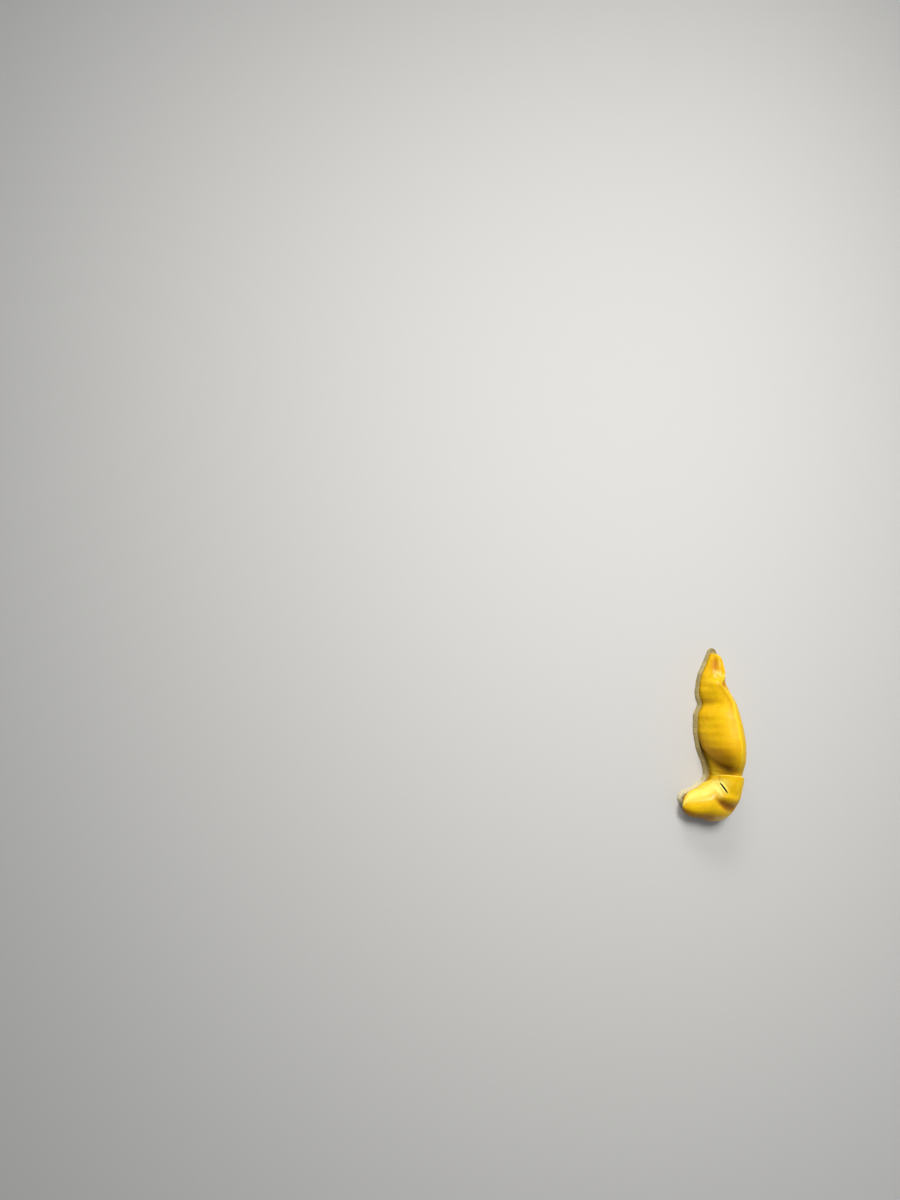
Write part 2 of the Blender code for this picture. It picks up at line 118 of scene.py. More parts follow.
camera_data = bpy.data.cameras.new("camera")
camera_data.lens = LENS
camera_data.sensor_width = SENSOR
camera = bpy.data.objects.new("camera", camera_data)
scene.collection.objects.link(camera)
scene.camera = camera
toward_camera = Vector((0, -math.cos(CAMERA_RISE), math.sin(CAMERA_RISE)))
picture_up = Vector((-1, 0, 0))
picture_right = picture_up.cross(toward_camera)
facing = Matrix((picture_right, picture_up, toward_camera)).transposed().to_quaternion()
pixel_lens = LENS / SENSOR * FRAME_HEIGHT
tail_ray = Vector((TAIL_PIXEL[0] - FRAME_WIDTH / 2, FRAME_HEIGHT / 2 - TAIL_PIXEL[1], -pixel_lens))
camera.rotation_mode = "QUATERNION"
camera.rotation_quaternion = facing @ tail_ray.rotation_difference(Vector((0, 0, -1)))
camera.location = TAIL_POINT + toward_camera * CAMERA_DISTANCE

# Body over the foot
# The tail, the long humped trunk and the neck are one soft muscular sack with a blunt keel along the
# back. The front third turns to the right, and the skin folds on the inside of the turn.
GAP = 0.3
LENGTH = 118.6
# Each table below pairs a station along the foot, from the tail, with degrees or millimetres
HEADING = ((0, 1), (12, -3), (25, 2), (40, 4), (68, 3), (76, 3.5), (82, -9), (88, -30), (94, -52),
           (100, -72), (106, -84), (112, -88), (117, -89))
FOOT_RIGHT = ((0, 2.4), (6, 5.2), (12, 8.2), (20, 11.6), (29, 12.7), (34.5, 11.6), (39, 14.4), (45, 15.6),
              (52, 15.6), (60, 14.4), (66, 12.2), (73, 9.6), (78, 9.8), (83, 11.0), (89, 11.8), (95, 12.4),
              (103, 12.4), (108, 10.6), (112, 9.9), (118, 9.6))
FOOT_LEFT = ((0, 2.4), (6, 5.0), (22, 9.8), (34, 13.2), (48, 16.4), (60, 16.2), (72, 15.2), (80, 13.2),
             (93, 13.6), (100, 10.6), (105, 8.4), (110, 7.6), (118, 7.2))
FRONT_SHOULDERS = {-1: 113, 1: 99}
FRONT_TAPER = {-1: 1.0, 1: 1.5}
FRONT_LEAN = -4.5
FRINGE_RIGHT = ((0, 1.2), (4, 1.7), (20, 2.1), (46, 2.8), (60, 2.5), (80, 2.6), (92, 3.4), (112, 3.2))
FRINGE_LEFT = ((0, 1.2), (4, 1.7), (20, 2.1), (46, 2.8), (60, 2.5), (80, 2.6), (117, 2.2))
# Each wave of the foot's edge: its height, its pace and its shift from side to side
EDGE_WAVES = ((0.12, 0.55, 1), (0.1, 1.27, 0))
EDGE_CALM = 20
FOOT_TIP = 1.8
LEAST_SOLE = 0.4
GROOVE = 1.8
TAIL_TIP = 3.4
TAIL_ROUNDING = 3.2
BACK = ((3, 7.6), (7, 9.4), (12, 11.4), (18, 12.8), (26, 15.8), (38, 20.2), (52, 23.8), (64, 25.2),
        (73, 23.8), (77, 21.9), (81, 20.4))
KEEL_LEAN = ((0, 0), (10.5, 0.2), (17.5, -0.2), (21.7, -3.8), (26, -1.8), (31, 0.8), (44, 0.8), (60, 0.6),
             (80, 0.3))
KEEL_RIDGE = ((3, 0.3), (8, 0.9), (30, 0.9), (50, 0.7), (70, 0.5), (80, 0.1))
KEEL_SPREAD = 0.17
SHARPNESS = 0.28
SHARP_FROM, SHARP_RUN = 10, 50
ROUNDNESS = 0.92
FOLD_STATION = 73.8
FOLD_RUN = 10.5
FOLD_TURN = 0.22
FOLD_DEPTH = 3.0
FOLD_CURVE = 2.6
HUMP_SWELL = 1.1
HUMP_PLACE = (-14, 9)
HUMP_FALL = 11.0
FLANK = (0.65, 0.75)
# Each dip: its depth, its station and reach, and its angle and spread
TAIL_DIPS = ((0.7, 10, 4.5, 0.78, 0.25), (0.9, 22.5, 2.4, 1.95, 0.25))
CREASE_PITCH = 2.9
STREAK_PITCH = 1.5
NECK_END = 106.0
TAIL_ROWS = (0.02, 0.1, 0.25, 0.5, 0.8)
FIRST_ROW = 1.15
BODY_STEP = 0.5
BODY_SIDES = 168
BODY_FLOOR = 0.9
CLOSED = 0.02
FLOW_SCALE = 100

WAVES = 9
WAVE_HEIGHT = 4
WAVE_PITCHES = (0.7, 1.5)
WAVE_PHASES = (0, 6.3)
# Each unevenness: its height in millimetres, or its wander in radians, its size and its seed
BODY_SWELL = (0.17, 14, 3)
BODY_DENTS = (0.05, 5, 4)
BODY_PUCKERS = (0.05, 2.4, 6)
CREASE_WANDER = (0.4, 6, 2)
STREAK_WANDER = (0.8, 7, 5)
CREASE_DEPTH = 0.35
CREASE_SLANT = 4
STREAK_HEIGHT = 0.08
GROOVE_ANGLE = 0.12

# Each soft spot: its weight, its station and reach, and its angle and spread. Those of the fold and the
# hump count their station from the fold.
BUNCHED = (1.0, (76, 6), (0.2, 0.35))
WAIST = (1.0, (4, 4), (0.7, 0.5))
PUCKERED = (1.0, (15, 10), (1.1, 0.7))
# The colour spots from here to the groove's are painted light: orange and brown painted shade in the tail's
# dips, beside the keel, on the hump's front, above the fold and along the groove, a pale painted highlight
# on the keel's crest, and painted light on the low waist.
DIP_REACH, DIP_SPREAD = 1.1, 1.3
KEEL_ORANGE_SHADE = (0.25, (32, 14), (1.32, 0.11))
HUMP_ORANGE_SHADE = (0.5, (-9, 6), (0.65, 0.75))
KEEL_HIGHLIGHT = (1.0, (44, 40), (math.pi / 2 + 0.02, 0.06))
WAIST_PAINTED_LIGHT = (0.9, (7, 4), (0.1, 0.35))
HUMP_BROWN_SHADE = (0.3, (-5, 4.5), (0.9, 0.8))
FOLD_BROWN_SHADE, FOLD_REACH, FOLD_FLANK = 0.85, 3.2, (0.9, 1.0)
FOLD_CLIMB, FOLD_ANGLE, FOLD_BACK = 4.2, 1.2, 2.8
GROOVE_BROWN_SHADE, GROOVE_SHADE = 0.5, (0, 0.1)
DAMP = 0.12
TAIL_WET = (0.85, (15, 8), (1.1, 0.6))

MANTLE_START = 77.2
MANTLE_SHOULDER = 110.0
MANTLE_END = 119.5
MANTLE_RIGHT = ((78, 9.6), (86, 10.9), (94, 11.7), (102, 11.3), (108, 10.2), (120, 9.0))
MANTLE_LEFT = ((78, 10.0), (84, 11.6), (90, 15.0), (95, 15.4), (99, 13.0), (104, 9.2), (110, 7.2),
               (120, 6.0))
MANTLE_CREST = ((78, 23.4), (85, 22.0), (92, 20.0), (99, 17.6), (106, 15.3), (112, 13.3), (119, 12.3))
MANTLE_FLESH = 1.0
MANTLE_CREST_FLESH = 2.8
TUCK_START = 2
TUCK_SLOPE = 2.0


def keyed(table, t):
    """A smooth curve through a table's pairs, level past its ends."""
    at, value = np.array(table, float).T
    slope = np.gradient(value, at)
    t = np.clip(np.asarray(t, float), at[0], at[-1])
    i = np.clip(np.searchsorted(at, t, side="right") - 1, 0, len(at) - 2)
    span = at[i + 1] - at[i]
    u = (t - at[i]) / span
    start = (2 * u ** 3 - 3 * u ** 2 + 1) * value[i] + (u ** 3 - 2 * u ** 2 + u) * span * slope[i]
    end = (3 * u ** 2 - 2 * u ** 3) * value[i + 1] + (u ** 3 - u ** 2) * span * slope[i + 1]
    return start + end


def bell(x, centre, spread):
    """A smooth bump of height 1."""
    return np.exp(-((np.asarray(x, float) - centre) / spread) ** 2)


def ramp(x, start, run):
    """A straight climb from 0 to 1 over a run."""
    return np.clip((x - start) / run, 0, 1)


def spot(values, along, around):
    """A soft spot of its own weight on a grid of stations and angles."""
    weight, station, angle = values
    return weight * bell(along, *station) * bell(around, *angle)


def rounded(t, shoulder, end):
    """A quarter ellipse that falls from 1 at the shoulder to nearly 0 at the end."""
    u = np.clip((np.asarray(t, float) - shoulder) / (end - shoulder), 0, 1)
    return np.sqrt(np.maximum(1 - u ** 2, CLOSED ** 2))


def trace_path(steps=4800):
    """Stations along the foot with the place and heading of the path at each."""
    t = np.linspace(0, MANTLE_END, steps)
    heading = np.radians(keyed(HEADING, t))
    stride = t[1] - t[0]
    x = np.concatenate([[0], np.cumsum(np.cos(heading[1:]) * stride)]) - MIDDLE[0]
    y = np.concatenate([[0], np.cumsum(np.sin(heading[1:]) * stride)]) - MIDDLE[1]
    return t, x, y, heading


PATH = trace_path()


def place(t, side, up):
    """The point at a station, so far to the left of the path and above the floor."""
    stations, x, y, heading = PATH
    turn = np.interp(t, stations, heading)
    east = np.interp(t, stations, x) - np.sin(turn) * side
    north = np.interp(t, stations, y) + np.cos(turn) * side
    return np.stack(np.broadcast_arrays(east, north, up), axis=-1)


def lumps(points, height, size, seed):
    """Soft unevenness about 0, from waves across random directions."""
    draw = np.random.default_rng(seed)
    total = 0
    for _ in range(WAVES):
        direction = draw.normal(size=3)
        direction /= np.linalg.norm(direction)
        pitch = size * draw.uniform(*WAVE_PITCHES)
        total = total + np.sin(points @ direction * 2 * math.pi / pitch + draw.uniform(*WAVE_PHASES))
    return height * (total / WAVE_HEIGHT)


def foot_edge(t, hand):
    """Side of the path where the fringe ends; the front leans to the right."""
    table = FOOT_RIGHT if hand < 0 else FOOT_LEFT
    wave = sum(height * np.sin(pace * t + shift * hand) for height, pace, shift in EDGE_WAVES)
    half = (keyed(table, t) + wave * ramp(t, 0, EDGE_CALM)) * rounded(-t, -FOOT_TIP, 0)
    front = rounded(t, FRONT_SHOULDERS[hand], LENGTH) ** FRONT_TAPER[hand]
    return FRONT_LEAN + (hand * half - FRONT_LEAN) * front


def sole_edge(t, hand):
    """Side of the path where the fringe begins."""
    right, left = foot_edge(t, -1), foot_edge(t, 1)
    fringe = keyed(FRINGE_RIGHT if hand < 0 else FRINGE_LEFT, t)
    return (left + right) / 2 + hand * np.maximum((left - right) / 2 - fringe, LEAST_SOLE)


def mantle_half(t, hand):
    """Half width of the mantle's rim."""
    return keyed(MANTLE_RIGHT if hand < 0 else MANTLE_LEFT, t)


def untucked(t):
    """Slack that lets the body swell to its full size behind the mantle's edge."""
    return TUCK_SLOPE * np.maximum(MANTLE_START + TUCK_START - t, 0)


def body_half(t, hand):
    """Half width of the body over the groove, tucked in under the mantle."""
    return np.minimum(hand * sole_edge(t, hand), mantle_half(t, hand) - MANTLE_FLESH + untucked(t))


def past_fold(t, phi):
    """How far a place lies beyond the fold, which starts further back low on the flank."""
    return t - FOLD_STATION + FOLD_RUN * np.exp(-phi / FOLD_TURN)


def body_relief(t, phi):
    """How far the body stands out from its plain shape: the keel, the hump and its fold, the dips."""
    past = past_fold(t, phi)
    fall = ramp(past, -HUMP_FALL, HUMP_FALL) ** FOLD_CURVE
    hump = HUMP_SWELL * bell(past, *HUMP_PLACE) - FOLD_DEPTH * fall
    relief = hump * bell(phi, *FLANK) + keyed(KEEL_RIDGE, t) * bell(phi, math.pi / 2, KEEL_SPREAD)
    for depth, station, reach, angle, spread in TAIL_DIPS:
        relief = relief - depth * bell(t, station, reach) * bell(phi, angle, spread)
    return relief


def body_section(t, phi, relief=0.0):
    """The flank and back, with finer relief on top of the main shape."""
    crest = np.minimum(keyed(BACK, t), keyed(MANTLE_CREST, t) - MANTLE_CREST_FLESH + untucked(t))
    half = np.where(phi < math.pi / 2, body_half(t, -1), body_half(t, 1))
    tail_end = rounded(-t, -TAIL_TIP - TAIL_ROUNDING, -TAIL_TIP)
    half = half * (1 + tail_end) / 2
    out = (body_relief(t, phi) + relief) * tail_end
    sharp = 1 + SHARPNESS * np.clip(1 - (t - SHARP_FROM) / SHARP_RUN, 0, 1)
    rise = (crest - GROOVE) * tail_end * np.sin(phi) ** (ROUNDNESS * sharp)
    side = -half * np.sign(np.cos(phi)) * np.abs(np.cos(phi)) ** sharp
    side = side + keyed(KEEL_LEAN, t) * np.sin(phi) ** 3
    return place(t, side - out * np.cos(phi), GROOVE + GAP / 2 + rise + out * np.sin(phi))


def outward_of(grid):
    """Unit normals of a grid of points whose rows follow the body and whose columns go right to left."""
    normal = np.cross(np.gradient(grid, axis=0), np.gradient(grid, axis=1))
    return normal / np.maximum(np.linalg.norm(normal, axis=2, keepdims=True), 1e-9)


def arc_from_keel(grid):
    """Distance of each point of a grid from its row's middle, round the section."""
    steps = np.linalg.norm(np.diff(grid, axis=1), axis=2)
    arc = np.concatenate([np.zeros((len(grid), 1)), np.cumsum(steps, axis=1)], axis=1)
    return arc - arc[:, grid.shape[1] // 2, None]


def closed_mesh(name, rings, flow, tint, hubs=True):
    """A closed mesh through rings of points in millimetres.

    Flow is a map of station and arc, and tint holds three masks for the colours, painted shade and painted
    highlight among them, and one for wetness.
    The end rings are filled round a hub each, or else by one flat face.
    """
    count, around = rings.shape[:2]
    points = np.concatenate([rings.reshape(-1, 3), rings[[0, -1]].mean(axis=1)]) * MM
    flow = np.concatenate([flow.reshape(-1, 2), flow[[0, -1]].mean(axis=1)])
    tint = np.concatenate([tint.reshape(-1, 4), tint[[0, -1]].mean(axis=1)])
    i, j = np.meshgrid(np.arange(count - 1), np.arange(around), indexing="ij")
    near = i * around + j
    beside = i * around + (j + 1) % around
    quads = np.stack([near, beside, beside + around, near + around], axis=-1).reshape(-1, 4)
    j = np.arange(around)
    after = (j + 1) % around
    last = (count - 1) * around
    first_cap = np.stack([after, j, np.full(around, last + around)], axis=-1).tolist()
    last_cap = np.stack([last + j, last + after, np.full(around, last + around + 1)], axis=-1).tolist()
    if not hubs:
        points = points[:-2]
        first_cap, last_cap = [j[::-1].tolist()], [(last + j).tolist()]
    mesh = bpy.data.meshes.new(name)
    mesh.from_pydata(points.tolist(), [], quads.tolist() + first_cap + last_cap)
    corner = np.zeros(len(mesh.loops), dtype=np.int32)
    mesh.loops.foreach_get("vertex_index", corner)
    layer = mesh.uv_layers.new(name="Flow")
    layer.data.foreach_set("uv", (flow[corner] / FLOW_SCALE).astype(np.float32).ravel())
    layer = mesh.color_attributes.new("Tint", "FLOAT_COLOR", "CORNER")
    layer.data.foreach_set("color", np.clip(tint[corner], 0, 1).astype(np.float32).ravel())
    shape = bmesh.new()
    shape.from_mesh(mesh)
    bmesh.ops.recalc_face_normals(shape, faces=shape.faces)
    shape.to_mesh(mesh)
    shape.free()
    piece = bpy.data.objects.new(name, mesh)
    scene.collection.objects.link(piece)
    return piece


rows = np.arange(TAIL_TIP + FIRST_ROW, NECK_END, BODY_STEP)
stations = np.concatenate([TAIL_TIP + np.array(TAIL_ROWS), rows])
angles = np.linspace(0, math.pi, BODY_SIDES + 1)
t_grid, phi_grid = np.meshgrid(stations, angles, indexing="ij")
plain = body_section(t_grid, phi_grid)
arc = arc_from_keel(plain)
past = past_fold(t_grid, phi_grid)
slanted = (t_grid - phi_grid * CREASE_SLANT) * math.pi / CREASE_PITCH
creases = 1 - np.abs(np.sin(slanted + lumps(plain, *CREASE_WANDER)))
streaks = np.sin(arc * 2 * math.pi / STREAK_PITCH + lumps(plain, *STREAK_WANDER))
swell = lumps(plain, *BODY_SWELL) + lumps(plain, *BODY_DENTS)
swell = swell + STREAK_HEIGHT * streaks * spot(WAIST, past, phi_grid)
swell = swell + lumps(plain, *BODY_PUCKERS) * spot(PUCKERED, t_grid, phi_grid)
off_groove = ramp(np.minimum(phi_grid, math.pi - phi_grid), 0, GROOVE_ANGLE)
relief = swell * off_groove - CREASE_DEPTH * creases ** 2 * spot(BUNCHED, t_grid, phi_grid)
body_grid = body_section(t_grid, phi_grid, relief)
under = body_grid[:, [-1, 0]] * (1, 1, 0) + (0, 0, BODY_FLOOR)
under_flow = np.stack([t_grid[:, :2], arc[:, [-1, 0]]], axis=-1)
# Orange painted shade beside the keel, on the hump's front and in the tail's dips.
orange_and_shade = spot(KEEL_ORANGE_SHADE, t_grid, phi_grid) + spot(HUMP_ORANGE_SHADE, past, phi_grid)
for _, station, reach, angle, spread in TAIL_DIPS:
    dip_shade = (1.0, (station, reach * DIP_REACH), (angle, spread * DIP_SPREAD))
    orange_and_shade = orange_and_shade + spot(dip_shade, t_grid, phi_grid)
# Pale painted highlight along the keel's crest, and painted light on the low waist.
pale = spot(KEEL_HIGHLIGHT, t_grid, phi_grid) + spot(WAIST_PAINTED_LIGHT, past, phi_grid)
# Brown painted shade above the fold, on the hump's front and along the groove.
fold_line = FOLD_CLIMB * ramp(phi_grid, 0, FOLD_ANGLE) - FOLD_BACK
brown_and_shade = spot((FOLD_BROWN_SHADE, (fold_line, FOLD_REACH), FOLD_FLANK), past, phi_grid)
brown_and_shade = brown_and_shade + spot(HUMP_BROWN_SHADE, past, phi_grid) + GROOVE_BROWN_SHADE * bell(phi_grid, *GROOVE_SHADE)
wet = DAMP + spot(TAIL_WET, t_grid, phi_grid)
body_tint = np.stack([orange_and_shade, pale, brown_and_shade, wet], axis=-1)
body = closed_mesh("body", np.concatenate([body_grid, under], axis=1),
                   np.concatenate([np.stack([t_grid, arc], axis=-1), under_flow], axis=1),
                   np.concatenate([body_tint, body_tint[:, [-1, 0]]], axis=1))

# Foot
# One flat muscle from tail tip to chin. A groove parts it from the flanks, and outside the groove it
# spreads into a thin fringe that is crossed by fine ridges with dark lines between them.
FOOT_STEP = 0.2
RIDGE_PITCH = 0.95
RIDGE_RISE = 0.12
RIDGE_BULGE = 0.08
RIDGE_BAND = (0.6, 0.45)
RIDGE_WANDER = (1.3, 5, 31)
LINE_BAND = (0.6, 0.5)
FIRMNESS, LEAST_FIRM = 0.75, 0.3
FIRM_CHANGE = (0.35, 9, 32)
THIN_FRINGE, FULL_WIDTH = 0.55, 2.2
FRONT_PALE_FROM, FRONT_PALE_RUN = 72, 16
FOOT_WET = 0.4
OUTLINE_STEPS = 1500
WIDTH_BLEND = 4.0
TURN_BLEND = 1.0
# The fringe's section: the share of its width from the groove, and the height
FRINGE_PROFILE = ((-0.35, 1.2), (-0.02, 1.25), (0.08, 1.72), (0.25, 1.95), (0.45, 1.85), (0.65, 1.55),
                  (0.82, 1.15), (0.94, 0.75), (1.0, 0.42), (0.985, 0.15), (0.93, 0.0))


def blurred(values, reach):
    """Values round a closed line, each mixed with its neighbours within reach."""
    count = max(1, round(reach / FOOT_STEP))
    kernel = np.hanning(2 * count + 3)[1:-1]
    wrapped = np.concatenate([values[-count:], values, values[:count]])
    return np.stack([np.convolve(column, kernel / kernel.sum(), "valid") for column in wrapped.T], axis=1)


def foot_outline():
    """Evenly spaced points round the foot's edge: place, way inland, fringe width, station and arc."""
    t = LENGTH * (1 - np.cos(np.linspace(0, math.pi, OUTLINE_STEPS))) / 2
    right = np.column_stack([place(t, foot_edge(t, -1), 0)[:, :2], keyed(FRINGE_RIGHT, t), t])
    left = np.column_stack([place(t, foot_edge(t, 1), 0)[:, :2], keyed(FRINGE_LEFT, t), t])
    line = np.concatenate([right, left[::-1], right[:1]])
    arc = np.concatenate([[0], np.cumsum(np.linalg.norm(np.diff(line[:, :2], axis=0), axis=1))])
    even = np.linspace(0, arc[-1], round(arc[-1] / FOOT_STEP) + 1)[:-1]
    edge = np.stack([np.interp(even, arc, column) for column in line.T], axis=1)
    run = np.roll(edge[:, :2], -1, axis=0) - np.roll(edge[:, :2], 1, axis=0)
    inland = blurred(np.stack([-run[:, 1], run[:, 0]], axis=1), TURN_BLEND)
    inland /= np.linalg.norm(inland, axis=1, keepdims=True)
    return edge[:, :2], inland, blurred(edge[:, 2:3], WIDTH_BLEND)[:, 0], edge[:, 3], even


edge, inland, width, t, along = foot_outline()
blank = np.zeros_like(t)
flat_edge = np.column_stack([edge, blank])
swing = 0.5 + 0.5 * np.cos(2 * math.pi * along / RIDGE_PITCH + lumps(flat_edge, *RIDGE_WANDER))
firm = np.clip(FIRMNESS + lumps(flat_edge, *FIRM_CHANGE), LEAST_FIRM, 1)
foot_rings, foot_flow, foot_tint = [], [], []
for u, up in FRINGE_PROFILE:
    ridge = firm * (swing - 0.5) * bell(u, *RIDGE_BAND)
    inset = width * (1 - u) - RIDGE_BULGE * ridge
    fullness = THIN_FRINGE + (1 - THIN_FRINGE) * ramp(width, 0, FULL_WIDTH)
    height = up * fullness + RIDGE_RISE * ridge * (up > 0)
    foot_rings.append(np.column_stack([edge + inland * inset[:, None], height]))
    foot_flow.append(np.column_stack([along, inset]))
    lines = firm * (1 - swing) ** 2 * bell(u, *LINE_BAND)
    front = (t - FRONT_PALE_FROM) / FRONT_PALE_RUN
    foot_tint.append(np.column_stack([lines, front, blank + (up == 0), blank + FOOT_WET]))
foot = closed_mesh("foot", np.array(foot_rings), np.array(foot_flow), np.array(foot_tint), hubs=False)

# Mantle
# A smooth shield of thicker skin over the front of the back, free along its rim. Its rear edge is a
# thin lip over the trunk, its front is a hood over the head, and the breathing pore opens on its right.
MANTLE_CORNER, CORNER_SPREAD = 2.6, 0.15
MANTLE_SLANT, SLANT_FROM, SLANT_RUN = 3.2, 0.8, 2.3
MANTLE_LEFT_CORNER, LEFT_CORNER_SPREAD = 5.0, 0.22
BOW_RUN = 12
NOSE_BLUNTNESS = 0.75
MANTLE_RIM = ((78, 9.4), (84, 6.2), (90, 4.4), (98, 3.7), (108, 4.5), (120, 6.1))
MANTLE_THICKNESS = ((78, 1.6), (82, 3.4), (98, 3.4), (105, 1.3), (119, 1.1))
THICKNESS_RISE = 4
RIM_THICKNESS = 1.1
LIP_RADIUS = 0.8
# Each swelling or hollow: its height, its station and reach, and its angle and spread
SWELLINGS = ((0.6, 97, 4.5, 0.9, 0.4), (0.5, 106, 5, 1.3, 0.5), (0.3, 84, 4, 1.5, 0.5))
HOLLOWS = ((-1.8, 95.4, 2.6, 1.9, 0.5), (0.7, 91.4, 2.2, 1.8, 0.45))
HOLLOW_SLANT = 7.0
HOLLOW_ANGLE = 1.9
RELIEF_RISE = 3
# The ends of the pore, of its groove and of the patch of painted highlight are each a station and an angle
PORE_ENDS = ((85.8, 0.66), (91.8, 1.33))
PORE_HALF_WIDTH = 0.52
PORE_DEPTH = 2.3
CORE_HEIGHT = 8.0
PORE_LIP, PORE_LIP_REACH = 0.4, 0.6
PORE_BLUNTNESS = 0.2
GROOVE_END = (78.2, 0.35)
GROOVE_DEPTH, GROOVE_SPREAD, GROOVE_CLEAR = 0.25, 0.6, 2
PATCH_ENDS = ((88.5, 0.45), (95.8, 1.2))
MANTLE_STEP = 0.33
MANTLE_SIDES = 120
EDGE_CROWDING = 0.35
LIP_ROWS = (0.02, 0.1, 0.22, 0.4, 0.65)
AFTER_LIP = 0.9
NOSE_ROWS, NOSE_TURN = 34, 1.565
MANTLE_SWELL, MANTLE_DENTS = (0.12, 9, 11), (0.04, 2.4, 12)

# Painted light in the mantle's colour: orange and brown painted shade in the hollow, on the left front, in
# the groove and along the rim's low edge, and pale painted highlights on the pore's lip, on a patch beside
# it, along the rim and on the ridge on the right.
HOLLOW_ORANGE_SHADE = (1.3, (95.4, 2.4), (HOLLOW_ANGLE, 0.65))
OCHRE_SHADE, OCHRE_SHADE_ANGLE, OCHRE_SHADE_STATION = 0.9, (1.9, 0.6), (97, 6)
PORE_LIP_HIGHLIGHT = 0.8
PATCH_HIGHLIGHT, PATCH_SPREAD = 0.6, 1.7
RIM_HIGHLIGHT, RIM_SPREAD = 0.7, 0.4
RIDGE_HIGHLIGHT, RIDGE_ANGLE, RIDGE_STATION = 0.9, (0.64, 0.38), (79, 5)
HOLLOW_BROWN_SHADE = 0.4
EDGE_BROWN_SHADE, EDGE_SPREAD = 0.4, 0.8
MANTLE_DAMP = 0.15
HOOD_WET = (0.7, (104, 7), (1.0, 0.6))
HOLLOW_WET = (0.6, (99, 4), (2.4, 0.4))


def mantle_relief(t, phi):
    """How far the mantle's back stands out from its plain shape."""
    relief = 0
    for height, station, reach, angle, spread in HOLLOWS:
        along = t + HOLLOW_SLANT * (phi - angle)
        relief = relief + height * bell(along, station, reach) * bell(phi, angle, spread)
    for height, station, reach, angle, spread in SWELLINGS:
        relief = relief + height * bell(t, station, reach) * bell(phi, angle, spread)
    return relief


def mantle_section(t, phi):
    """The mantle's upper surface."""
    half = np.where(phi < math.pi / 2, mantle_half(t, -1), mantle_half(t, 1))
    nose = rounded(t, MANTLE_SHOULDER, MANTLE_END)
    rim = keyed(MANTLE_RIM, t)
    rise = (keyed(MANTLE_CREST, t) - rim) * nose ** NOSE_BLUNTNESS * np.abs(np.sin(phi)) ** ROUNDNESS
    out = mantle_relief(t, phi) * ramp(rise, 0, RELIEF_RISE)
    bow = MANTLE_CORNER * np.exp(-phi / CORNER_SPREAD) + MANTLE_SLANT * ramp(phi, SLANT_FROM, SLANT_RUN)
    bow = bow + MANTLE_LEFT_CORNER * np.exp((phi - math.pi) / LEFT_CORNER_SPREAD)
    slant = bow * np.clip(1 - (t - MANTLE_START) / BOW_RUN, 0, 1)
    return place(t + slant, -np.cos(phi) * (half * nose + out), rim + rise + np.sin(phi) * out)


def mantle_points(marks):
    """Points of the mantle's upper surface at pairs of station and angle."""
    return [mantle_section(np.float64(t), np.float64(phi)) for t, phi in marks]


def line_distance(points, start, end):
    """Distance of points from a straight line between two points, and the share of the way along it."""
    run = end - start
    share = np.clip((points - start) @ run / (run @ run), 0, 1)
    return np.linalg.norm(points - start - share[..., None] * run, axis=-1), share


nose_rows = (MANTLE_END - MANTLE_SHOULDER) * np.sin(np.linspace(0, NOSE_TURN, NOSE_ROWS))
back_rows = np.arange(MANTLE_START + AFTER_LIP, MANTLE_SHOULDER, MANTLE_STEP)
stations = np.concatenate([MANTLE_START + np.array(LIP_ROWS), back_rows, MANTLE_SHOULDER + nose_rows])
even = np.linspace(0, math.pi, MANTLE_SIDES + 1)
angles = EDGE_CROWDING * math.pi * (1 - np.cos(even)) / 2 + (1 - EDGE_CROWDING) * even
t_grid, phi_grid = np.meshgrid(stations, angles, indexing="ij")
plain = mantle_section(t_grid, phi_grid)
arc = arc_from_keel(plain)
from_rim = plain[..., 2] - keyed(MANTLE_RIM, t_grid)
inside = np.clip(np.minimum(from_rim, t_grid - MANTLE_START) / LIP_RADIUS, 0, 1)
rolled = (1 - np.sqrt(1 - (1 - inside) ** 2)) * RIM_THICKNESS / 2
flesh = (keyed(MANTLE_THICKNESS, t_grid) - RIM_THICKNESS) * ramp(from_rim, 0, THICKNESS_RISE) * inside
outward = outward_of(plain)
top = plain - outward * rolled[..., None]
bottom = plain - outward * (RIM_THICKNESS - rolled + flesh)[..., None]
pore_start, pore_end = mantle_points(PORE_ENDS)
away, share = line_distance(top, pore_start, pore_end)
slit = np.sqrt(np.maximum(1 - (2 * share - 1) ** 2, 0))
taper = slit * (1 - PORE_BLUNTNESS) + PORE_BLUNTNESS
pore_side = bell(away, PORE_HALF_WIDTH * taper + PORE_LIP_REACH, PORE_LIP_REACH) * taper
groove_away, _ = line_distance(top, pore_start, *mantle_points([GROOVE_END]))
groove = GROOVE_DEPTH * bell(groove_away, 0, GROOVE_SPREAD) * ramp(away, 0, GROOVE_CLEAR)
patch_away, _ = line_distance(top, *mantle_points(PATCH_ENDS))
swell = lumps(top, *MANTLE_SWELL) + lumps(top, *MANTLE_DENTS)
top = top + outward_of(top) * (PORE_LIP * pore_side - groove + swell * inside)[..., None]
# Orange painted shade in the hollow and on the mantle's left front.
hollow_shade = spot(HOLLOW_ORANGE_SHADE, t_grid + HOLLOW_SLANT * (phi_grid - HOLLOW_ANGLE), phi_grid)
ochre_shade = OCHRE_SHADE * ramp(phi_grid, *OCHRE_SHADE_ANGLE) * ramp(t_grid, *OCHRE_SHADE_STATION)
